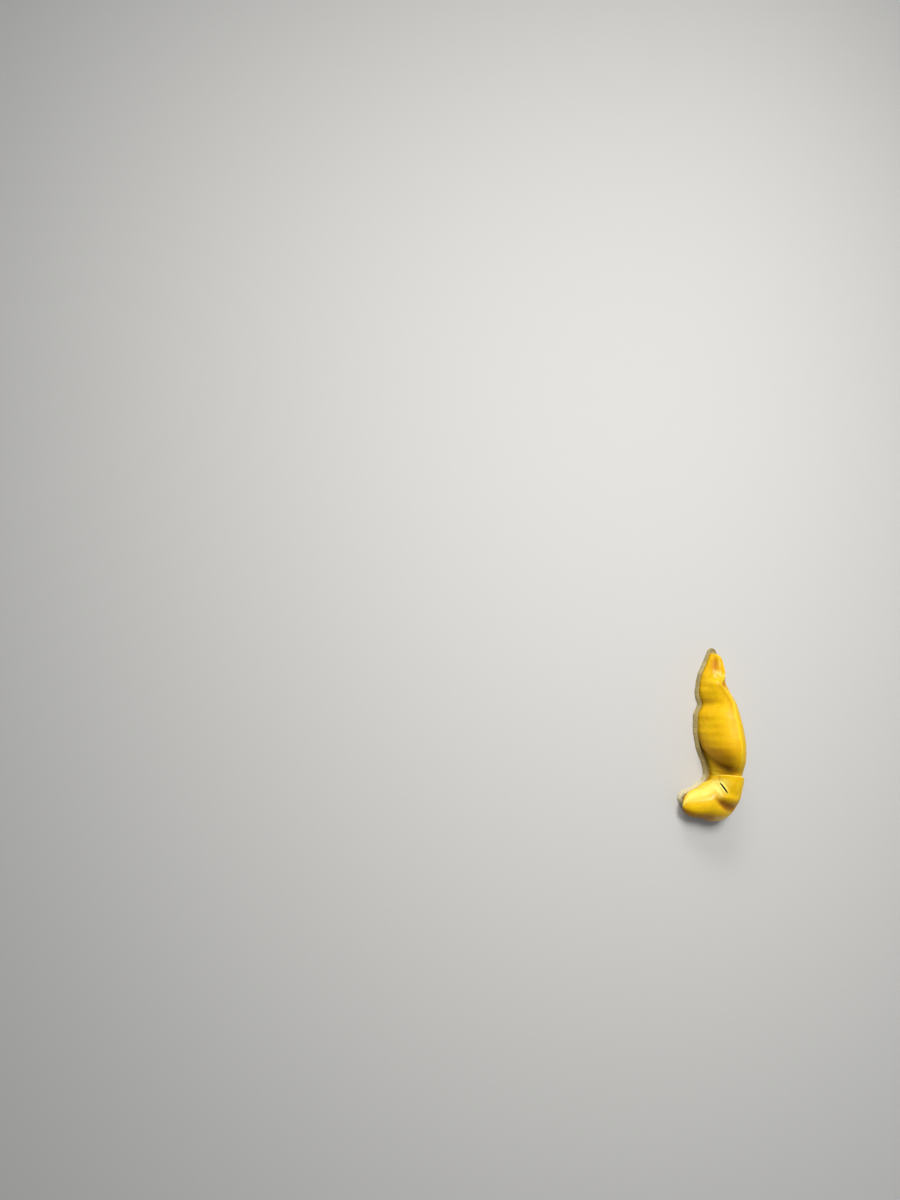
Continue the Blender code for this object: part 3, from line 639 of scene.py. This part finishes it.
# Pale painted highlights on the pore's lip, on a patch beside it, along the rim and on the ridge on the
# right.
pale = PORE_LIP_HIGHLIGHT * pore_side + PATCH_HIGHLIGHT * bell(patch_away, 0, PATCH_SPREAD)
pale = pale + RIM_HIGHLIGHT * bell(inside, 0, RIM_SPREAD)
pale = pale + RIDGE_HIGHLIGHT * bell(phi_grid, *RIDGE_ANGLE) * ramp(t_grid, *RIDGE_STATION)
# Brown painted shade in the groove, deeper in the hollow, and along the rim's low edge.
brown_and_shade = groove + HOLLOW_BROWN_SHADE * hollow_shade ** 2 + EDGE_BROWN_SHADE * bell(from_rim, 0, EDGE_SPREAD)
wet = MANTLE_DAMP + spot(HOOD_WET, t_grid, phi_grid) + spot(HOLLOW_WET, t_grid, phi_grid)
mantle_tint = np.stack([hollow_shade + ochre_shade, pale, brown_and_shade, wet], axis=-1)
flow = np.stack([t_grid, arc], axis=-1)
mantle = closed_mesh("mantle", np.concatenate([top, bottom[:, ::-1]], axis=1),
                     np.concatenate([flow, flow[:, ::-1]], axis=1),
                     np.concatenate([mantle_tint, mantle_tint[:, ::-1]], axis=1))

# Head
# The head is drawn in under the hood: a soft muzzle with a small upright mouth between two lobes of
# lip, and four tentacles shrunk to ringed stubs.
HEAD_START = 99.0
HEAD_END = 115.0
HEAD_TIP = 0.03
MUZZLE_START = 107.0
MUZZLE_BLUNTNESS, MUZZLE_ROUNDNESS = 0.8, 0.85
HEAD_ROWS, HEAD_SIDES = 60, 61
HEAD_FLOOR = 1.0
HEAD_HALF = ((99, 7.2), (104, 6.8), (110, 5.5), (116, 5.0))
HEAD_CREST = ((99, 14.0), (104, 12.6), (110, 10.4), (116, 9.0))
FACE_SIDE = ((104, -1.4), (110, -2.4), (116, -2.6))
# Each tentacle: its station, side and height, the radius of its root and tip, and its length
UPPER_TENTACLE = (111.9, 2.1, 5.0, 1.15, 0.86, 3.9)
LOWER_TENTACLE = (112.2, 2.7, 3.2, 0.82, 0.62, 3.3)
TENTACLE_SPLAY = math.radians(6)
TENTACLE_SIDES = 28
STUB_ROWS, TIP_ROWS, TIP_TURN = 28, 9, 1.5
TENTACLE_RINGS, RING_RELIEF = 5, 0.07
TIP_START, TIP_SHOULDER = 0.9, 0.82
MOUTH = (115.0, 2.7)
MOUTH_RADII = (0.3, 1.0, 1.5)
LIP_SIDE = 1.15
LIP_BACK = 1.0
LIP_RADII = (1.35, 1.0, 1.15)
BROW_RADII = (1.75, 1.5, 1.7)
BROW_BACK = 0.2
CHEEK = (111.0, 3.7, 3.9)
CHEEK_RADII = (1.5, 1.9, 2.4)
HEAD_VOXEL = 0.2
SMOOTHING, SMOOTH_ROUNDS = 0.5, 2
WRINKLE_PITCH, WRINKLE_SLANT, WRINKLE_DEPTH = 1.25, 0.25, 0.14
WRINKLES_FROM, WRINKLES_RUN = 1.2, 1.5
PUCKERS, PUCKER_DEPTH = 7, 0.1
WRINKLE_WANDER, PUCKER_WANDER = (0.5, 3, 23), (0.3, 2, 24)
PUCKER_RING, PUCKER_LIMIT = (1.9, 0.9), -2.5
PARTING_DEPTH, PARTING_SPREAD, PARTING_START = 0.2, 0.35, 1.2
FACE_SWELL, FACE_DENTS = (0.06, 3, 21), (0.03, 1.3, 22)
FACE_RUN = 9
LIP_SPREAD, LIP_LIMIT = 1.7, -1.8
THROAT_WIDTH, THROAT_HEIGHT, THROAT_DEPTH = 1.3, 1.1, -0.35
FACE_ORANGE, LIP_PALE, FOLD_SHADE = 0.5, 0.75, 0.35
FACE_DAMP, FACE_WET = 0.2, 0.4


def face_frame(t):
    """Axes at a station of the face: to the left, up and forward."""
    turn = np.interp(t, PATH[0], PATH[3])
    forward = Vector((math.cos(turn), math.sin(turn), 0))
    up = Vector((0, 0, 1))
    return Matrix((up.cross(forward), up, forward)).transposed()


def ball(name, middle, radii, axes, sides=24):
    """A closed ellipsoid in millimetres whose axes are the columns of a matrix."""
    shape = bmesh.new()
    bmesh.ops.create_uvsphere(shape, u_segments=sides, v_segments=sides // 2, radius=MM)
    turn = axes.to_4x4() @ Matrix.Diagonal((*radii, 1))
    bmesh.ops.transform(shape, matrix=Matrix.Translation(Vector(middle) * MM) @ turn, verts=shape.verts)
    mesh = bpy.data.meshes.new(name)
    shape.to_mesh(mesh)
    shape.free()
    piece = bpy.data.objects.new(name, mesh)
    scene.collection.objects.link(piece)
    return piece


def settle(piece):
    """Turn a piece's modifiers into plain mesh."""
    mesh = bpy.data.meshes.new_from_object(piece.evaluated_get(bpy.context.evaluated_depsgraph_get()))
    piece.modifiers.clear()
    piece.data = mesh


def combine(piece, others, operation):
    """Union with closed pieces, or difference from them, left as plain mesh."""
    for other in others:
        change = piece.modifiers.new(operation.lower(), "BOOLEAN")
        change.operation = operation
        change.solver = "MANIFOLD"
        change.material_mode = "TRANSFER"
        change.object = other
    settle(piece)
    for other in others:
        bpy.data.objects.remove(other)


def keep_largest(piece):
    """Delete the crumbs that a cut leaves beside a piece's main surface."""
    shape = bmesh.new()
    shape.from_mesh(piece.data)
    unseen = set(shape.verts)
    parts = []
    while unseen:
        part, front = set(), {unseen.pop()}
        while front:
            part |= front
            front = {edge.other_vert(vert) for vert in front for edge in vert.link_edges} & unseen
            unseen -= front
        parts.append(part)
    parts.sort(key=len)
    crumbs = [vert for part in parts[:-1] for vert in part]
    bmesh.ops.delete(shape, geom=crumbs, context="VERTS")
    shape.to_mesh(piece.data)
    shape.free()


def face_point(station, hand, side, up):
    """A point of the face, so far out from its middle."""
    return place(station, keyed(FACE_SIDE, station) + hand * side, up)


def tentacle(sizes, hand):
    """A ringed stub with a rounded tip, and the middle of its tip and its axes."""
    station, side, up, root, tip, length = sizes
    foot = face_point(station, hand, side, up)
    axes = face_frame(station) @ Matrix.Rotation(hand * TENTACLE_SPLAY, 3, "Y")
    turn = np.array(axes)
    around = np.linspace(0, 2 * math.pi, TENTACLE_SIDES + 1)[:-1]
    tip_rows = TIP_START + (1 - TIP_START) * np.sin(np.linspace(0, TIP_TURN, TIP_ROWS))[1:]
    rings = []
    for u in np.concatenate([np.linspace(0, TIP_START, STUB_ROWS), tip_rows]):
        radius = root + (tip - root) * u
        radius = radius * (1 + RING_RELIEF * math.cos(u * 2 * math.pi * TENTACLE_RINGS))
        radius = radius * rounded(u, TIP_SHOULDER, 1)
        ring = np.stack([np.cos(around) * radius, np.sin(around) * radius, around * 0 + u * length], axis=-1)
        rings.append(foot + ring @ turn.T)
    rings = np.array(rings)
    blank = np.zeros((*rings.shape[:2], 4))
    return closed_mesh("tentacle", rings, blank[..., :2], blank), foot + turn[:, 2] * length, axes


head_rows = np.sin(np.linspace(0, math.pi / 2, HEAD_ROWS))
stations = HEAD_START + (HEAD_END - HEAD_TIP - HEAD_START) * head_rows
t_grid, phi_grid = np.meshgrid(stations, np.linspace(0, math.pi, HEAD_SIDES), indexing="ij")
blunt = rounded(t_grid, MUZZLE_START, HEAD_END) ** MUZZLE_BLUNTNESS
side = keyed(FACE_SIDE, t_grid) - keyed(HEAD_HALF, t_grid) * blunt * np.cos(phi_grid)
rise = (keyed(HEAD_CREST, t_grid) - GROOVE) * blunt * np.abs(np.sin(phi_grid)) ** MUZZLE_ROUNDNESS
muzzle_grid = place(t_grid, side, GROOVE + GAP / 2 + rise)
under = muzzle_grid[:, [-1, 0]] * (1, 1, 0) + (0, 0, HEAD_FLOOR)
muzzle_rings = np.concatenate([muzzle_grid, under], axis=1)
blank = np.zeros((*muzzle_rings.shape[:2], 4))
head = closed_mesh("head", muzzle_rings, blank[..., :2], blank)
mouth_axes = face_frame(MOUTH[0])
eye_places = {}
lobes = []
for hand, side_name in ((-1, "right"), (1, "left")):
    lip_middle = face_point(MOUTH[0] - LIP_BACK, hand, LIP_SIDE, MOUTH[1])
    brow_middle = face_point(UPPER_TENTACLE[0] - BROW_BACK, hand, *UPPER_TENTACLE[1:3])
    cheek_middle = face_point(CHEEK[0], hand, *CHEEK[1:])
    lobes.append(ball("lip", lip_middle, LIP_RADII, mouth_axes))
    lobes.append(ball("brow", brow_middle, BROW_RADII, mouth_axes))
    lobes.append(ball("cheek", cheek_middle, CHEEK_RADII, mouth_axes))
    lobes.append(tentacle(LOWER_TENTACLE, hand)[0])
    stub, tip, axes = tentacle(UPPER_TENTACLE, hand)
    lobes.append(stub)
    eye_places[side_name] = tip, axes
combine(head, lobes, "UNION")
mouth_middle = face_point(MOUTH[0], 0, 0, MOUTH[1])
combine(head, [ball("mouth", mouth_middle, MOUTH_RADII, mouth_axes)], "DIFFERENCE")
remesh = head.modifiers.new("one skin", "REMESH")
remesh.mode = "VOXEL"
remesh.voxel_size = HEAD_VOXEL * MM
smooth = head.modifiers.new("soft", "SMOOTH")
smooth.factor = SMOOTHING
smooth.iterations = SMOOTH_ROUNDS
settle(head)
points = np.zeros(len(head.data.vertices) * 3, dtype=np.float32)
normals = np.zeros(len(head.data.vertices) * 3, dtype=np.float32)
head.data.vertices.foreach_get("co", points)
head.data.vertices.foreach_get("normal", normals)
points, normals = points.reshape(-1, 3) / MM, normals.reshape(-1, 3)
across, above, ahead = ((points - mouth_middle) @ np.array(mouth_axes)).T
from_mouth = np.hypot(across, above)
turn = np.arctan2(above, across)
slanted = (ahead - WRINKLE_SLANT * np.abs(across)) * math.pi / WRINKLE_PITCH
wrinkles = 1 - np.abs(np.sin(slanted + lumps(points, *WRINKLE_WANDER)))
puckers = 1 - np.abs(np.sin(PUCKERS * turn / 2 + lumps(points, *PUCKER_WANDER)))
around_mouth = bell(from_mouth, *PUCKER_RING) * (ahead > PUCKER_LIMIT)
behind = ramp(-ahead, WRINKLES_FROM, WRINKLES_RUN)
parting = bell(across, 0, PARTING_SPREAD) * ramp(above, PARTING_START, 1)
relief = lumps(points, *FACE_SWELL) + lumps(points, *FACE_DENTS)
relief = relief - WRINKLE_DEPTH * wrinkles ** 2 * behind - PUCKER_DEPTH * puckers ** 2 * around_mouth
relief = relief - PARTING_DEPTH * parting
points = points + normals * relief[:, None]
head.data.vertices.foreach_set("co", (points * MM).astype(np.float32).ravel())
forward = ramp(ahead, -FACE_RUN, FACE_RUN)
lips = bell(from_mouth, 0, LIP_SPREAD) * (ahead > LIP_LIMIT)
folds = np.clip(wrinkles ** 3 * behind + puckers ** 3 * around_mouth + parting, 0, 1) * forward
# Dark brown painted shade deep in the mouth and in the wrinkles and puckers of the face.
throat_shade = bell(across / MOUTH_RADII[0], 0, THROAT_WIDTH) * bell(above / MOUTH_RADII[1], 0, THROAT_HEIGHT)
brown_and_shade = FOLD_SHADE * folds + throat_shade * (ahead < THROAT_DEPTH)
wet = FACE_DAMP + FACE_WET * forward
head_tint = np.stack([FACE_ORANGE * forward, LIP_PALE * lips, brown_and_shade, wet], axis=1)
corner = np.zeros(len(head.data.loops), dtype=np.int32)
head.data.loops.foreach_get("vertex_index", corner)
layer = head.data.color_attributes.new("Tint", "FLOAT_COLOR", "CORNER")
layer.data.foreach_set("color", np.clip(head_tint[corner], 0, 1).astype(np.float32).ravel())

# Eyes
# Each upper tentacle carries a small round eye in its tip.
# It is a black bead under a clear, wet cover that shines.
EYE_RADII = (0.45, 0.45, 0.42)
EYE_INSET = 0.2
EYE_GLOSS = {"Base Color": (0.006, 0.005, 0.006, 1), "Roughness": 0.12, "Coat Weight": 1.0,
             "Coat Roughness": 0.03}

eye_material, _, eye_shader = new_material("eye")
set_shader(eye_shader, EYE_GLOSS)
for side_name, (tip, axes) in eye_places.items():
    middle = tip - np.array(axes)[:, 2] * EYE_INSET
    eye = ball("eye_" + side_name, middle, EYE_RADII, axes, sides=32)
    eye.data.shade_smooth()
    eye.data.materials.append(eye_material)
    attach(eye, "root")
    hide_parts("eye_" + side_name)

# Skin
# Foot, body, mantle and head are one skin on the living animal, so they are joined into one piece with
# nothing inside it. It is wet flesh that lets a little light through, netted with fine grooves.
FLESH_NODES = ("tail", "trunk_rear", "trunk_middle", "trunk_front", "neck", "mantle", "head", "tail_tip",
               "foot_front_edge")
FLESH = {"IOR": 1.38, "Specular IOR Level": 0.2, "Coat Roughness": 0.14, "Subsurface Weight": 0.25,
         "Subsurface Radius": (1.0, 0.45, 0.12), "Subsurface Scale": 0.0012}
# The pore's wall is near black: painted shade inside the slit.
PORE_SHADE_WALL = {"Base Color": (0.012, 0.007, 0.003, 1), "Roughness": 0.45}
NET_BEND = (1.1, 1.1, 1.1)
NET_WANDER, NET_SCATTER = 0.9, 0.85
NET_LINE, NET_SLOPE = 0.16, 0.3
CLOUD_SCALE, CLOUD_RANGE, CLOUD_TINT = 0.12, (0.35, 0.65), 0.16
SPECK_SCALE, SPECK_RANGE, SPECK_TONES = 1.6, (0.35, 0.7), (0.88, 1.08)
FILM_SCALE, FILM_RANGE, THIN_FILM = 0.22, (0.38, 0.62), 0.3
DULL, GLOSSY = 0.52, 0.3
GRAIN_SCALE, GRAIN_HEIGHT = 2.6, 0.5
MASK_REACH = 0.95


def add_node(tree, kind, inputs, **settings):
    """A shader node with its settings and inputs, where a socket as an input is linked."""
    node = tree.nodes.new("ShaderNode" + kind)
    for name, value in settings.items():
        setattr(node, name, value)
    for key, value in inputs.items():
        if isinstance(value, bpy.types.NodeSocket):
            tree.links.new(value, node.inputs[key])
        else:
            node.inputs[key].default_value = value
    return node


def new_group(name, takes, gives):
    """A shader node group with its named inputs and outputs, and the sockets inside it."""
    group = bpy.data.node_groups.new(name, "ShaderNodeTree")
    for label, kind in takes:
        group.interface.new_socket(label, in_out="INPUT", socket_type="NodeSocket" + kind)
    for label, kind in gives:
        group.interface.new_socket(label, in_out="OUTPUT", socket_type="NodeSocket" + kind)
    return group, group.nodes.new("NodeGroupInput").outputs, group.nodes.new("NodeGroupOutput").inputs


def blended(tree, share, first, second):
    """The colour between two colours."""
    return add_node(tree, "Mix", {0: share, 6: first, 7: second}, data_type="RGBA").outputs[2]


def scaled(tree, value, low, high, to_low=0.0, to_high=1.0):
    """A value moved from one range to another and kept inside it."""
    return add_node(tree, "MapRange", {0: value, 1: low, 2: high, 3: to_low, 4: to_high}).outputs[0]


# Fine net of grooves round long tubercles: mask of the grooves, and height
net_group, takes, gives = new_group("skin net", (("Place", "Vector"), ("Cell", "Vector")),
                                    (("Grooves", "Float"), ("Height", "Float")))
cells = add_node(net_group, "VectorMath", {0: takes["Place"], 1: takes["Cell"]}, operation="DIVIDE")
bend = add_node(net_group, "TexNoise", {"Vector": cells.outputs[0], "Scale": NET_WANDER, "Detail": 2.0})
bend = add_node(net_group, "VectorMath", {0: bend.outputs["Color"], 1: NET_BEND, 2: cells.outputs[0]},
                operation="MULTIPLY_ADD")
net = add_node(net_group, "TexVoronoi", {"Vector": bend.outputs[0], "Scale": 1.0, "Randomness": NET_SCATTER},
               feature="DISTANCE_TO_EDGE")
net_group.links.new(scaled(net_group, net.outputs["Distance"], 0.0, NET_LINE, 1.0, 0.0), gives["Grooves"])
net_group.links.new(scaled(net_group, net.outputs["Distance"], 0.0, NET_SLOPE), gives["Height"])

# Uneven tone, in broad clouds and fine specks
mottle_group, takes, gives = new_group("mottling", (("Place", "Vector"),),
                                       (("Broad", "Float"), ("Fine", "Float")))
broad = add_node(mottle_group, "TexNoise", {"Vector": takes["Place"], "Scale": CLOUD_SCALE, "Detail": 3.0})
speck = add_node(mottle_group, "TexNoise", {"Vector": takes["Place"], "Scale": SPECK_SCALE, "Detail": 2.0})
mottle_group.links.new(scaled(mottle_group, broad.outputs[0], *CLOUD_RANGE), gives["Broad"])
mottle_group.links.new(scaled(mottle_group, speck.outputs[0], *SPECK_RANGE), gives["Fine"])

# Film of slime: where it is thick the skin is glossier
slime_group, takes, gives = new_group("slime", (("Place", "Vector"), ("Wet", "Float")),
                                      (("Roughness", "Float"), ("Coat", "Float")))
film = add_node(slime_group, "TexNoise", {"Vector": takes["Place"], "Scale": FILM_SCALE, "Detail": 4.0})
patches = scaled(slime_group, film.outputs[0], *FILM_RANGE, THIN_FILM, 1.0)
thick = add_node(slime_group, "Math", {0: patches, 1: takes["Wet"]}, operation="MULTIPLY").outputs[0]
slime_group.links.new(scaled(slime_group, thick, 0.0, 1.0, DULL, GLOSSY), gives["Roughness"])
slime_group.links.new(thick, gives["Coat"])


def flesh_material(name, tone, orange_and_shade, pale, brown_and_shade, cell, net_depth, net_shade, solid_net=False):
    """A wet skin whose tints follow the masks that its mesh carries; on the body and the mantle the orange
    and brown tints are painted shade and the pale one painted highlight, and on the head the brown is
    painted shade.
    """
    material, tree, shader = new_material(name)
    set_shader(shader, FLESH)
    solid = add_node(tree, "TexCoord", {}).outputs["Object"]
    solid = add_node(tree, "VectorMath", {0: solid, "Scale": 1 / MM}, operation="SCALE").outputs[0]
    flow = add_node(tree, "UVMap", {}, uv_map="Flow").outputs[0]
    flow = add_node(tree, "VectorMath", {0: flow, "Scale": FLOW_SCALE}, operation="SCALE").outputs[0]
    tint = add_node(tree, "Attribute", {}, attribute_name="Tint").outputs
    masks = add_node(tree, "SeparateColor", {0: tint["Color"]}).outputs
    net_place = {"Place": solid if solid_net else flow, "Cell": cell}
    skin_net = add_node(tree, "Group", net_place, node_tree=net_group).outputs
    mottle = add_node(tree, "Group", {"Place": solid}, node_tree=mottle_group).outputs
    film_place = {"Place": solid, "Wet": tint["Alpha"]}
    slime = add_node(tree, "Group", film_place, node_tree=slime_group).outputs
    colour = blended(tree, scaled(tree, mottle["Broad"], 0, 1, 0.0, CLOUD_TINT), tone, orange_and_shade)
    colour = blended(tree, scaled(tree, masks[0], 0, 1, 0.0, MASK_REACH), colour, orange_and_shade)
    colour = blended(tree, masks[1], colour, pale)
    colour = blended(tree, masks[2], colour, brown_and_shade)
    specks = scaled(tree, mottle["Fine"], 0, 1, *SPECK_TONES)
    grooves = scaled(tree, skin_net["Grooves"], 0, 1, 1.0, 1.0 - net_shade)
    shade = add_node(tree, "Math", {0: specks, 1: grooves}, operation="MULTIPLY").outputs[0]
    colour = add_node(tree, "VectorMath", {0: colour, "Scale": shade}, operation="SCALE").outputs[0]
    tree.links.new(colour, shader.inputs["Base Color"])
    tree.links.new(slime["Roughness"], shader.inputs["Roughness"])
    tree.links.new(slime["Coat"], shader.inputs["Coat Weight"])
    grain = add_node(tree, "TexNoise", {"Vector": solid, "Scale": GRAIN_SCALE, "Detail": 3.0}).outputs[0]
    height = add_node(tree, "Math", {0: grain, 1: GRAIN_HEIGHT, 2: skin_net["Height"]},
                      operation="MULTIPLY_ADD")
    bump = add_node(tree, "Bump", {"Strength": 1.0, "Distance": net_depth * MM, "Height": height.outputs[0]})
    tree.links.new(bump.outputs[0], shader.inputs["Normal"])
    return material


body_skin = flesh_material(
    "body skin", tone=(0.93, 0.555, 0.001, 1), orange_and_shade=(0.56, 0.20, 0.002, 1), pale=(0.95, 0.68, 0.02, 1),
    brown_and_shade=(0.16, 0.065, 0.002, 1), cell=(1.3, 0.62, 1.0), net_depth=0.05, net_shade=0.14)
mantle_skin = flesh_material(
    "mantle skin", tone=(0.96, 0.585, 0.002, 1), orange_and_shade=(0.40, 0.14, 0.001, 1), pale=(0.96, 0.78, 0.16, 1),
    brown_and_shade=(0.28, 0.11, 0.003, 1), cell=(0.5, 0.35, 1.0), net_depth=0.02, net_shade=0.04)
fringe_skin = flesh_material(
    "fringe skin", tone=(0.54, 0.43, 0.17, 1), orange_and_shade=(0.06, 0.05, 0.025, 1), pale=(0.70, 0.63, 0.38, 1),
    brown_and_shade=(0.66, 0.58, 0.34, 1), cell=(0.45, 2.4, 1.0), net_depth=0.04, net_shade=0.35)
head_skin = flesh_material(
    "head skin", tone=(0.93, 0.555, 0.001, 1), orange_and_shade=(0.46, 0.22, 0.008, 1), pale=(0.86, 0.66, 0.22, 1),
    brown_and_shade=(0.08, 0.03, 0.004, 1), cell=(0.5, 0.5, 0.5), net_depth=0.03, net_shade=0.14, solid_net=True)
pore_shade_skin, _, pore_shader = new_material("painted shade inside the pore")
set_shader(pore_shader, PORE_SHADE_WALL)

for piece, material in ((body, body_skin), (foot, fringe_skin), (mantle, mantle_skin), (head, head_skin)):
    piece.data.materials.clear()
    piece.data.materials.append(material)
combine(body, (foot, mantle, head), "UNION")

# The pore is a deep slit, cut last so that its wall takes the near-black material, which is painted shade
# inside the slit
pore_station, pore_angle = np.mean(PORE_ENDS, axis=0)
core = place(pore_station, 0, CORE_HEIGHT)
pore_run = Vector(pore_end - pore_start)
pore_width = Vector(mantle_section(pore_station, pore_angle) - core).cross(pore_run).normalized()
pore_out = pore_run.cross(pore_width).normalized()
pore_axes = Matrix((pore_run.normalized(), pore_width, pore_out)).transposed()
pore_radii = (pore_run.length / 2, PORE_HALF_WIDTH, PORE_DEPTH)
pore = ball("pore", (pore_start + pore_end) / 2, pore_radii, pore_axes, sides=48)
pore.data.materials.append(pore_shade_skin)
combine(body, [pore], "DIFFERENCE")
keep_largest(body)
body.name = "slug_skin"
body.data.shade_smooth()
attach(body, "root")
small_nodes = [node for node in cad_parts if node.startswith(("foot_fringe", "sole", "tentacle"))]
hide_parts(*FLESH_NODES, *small_nodes)
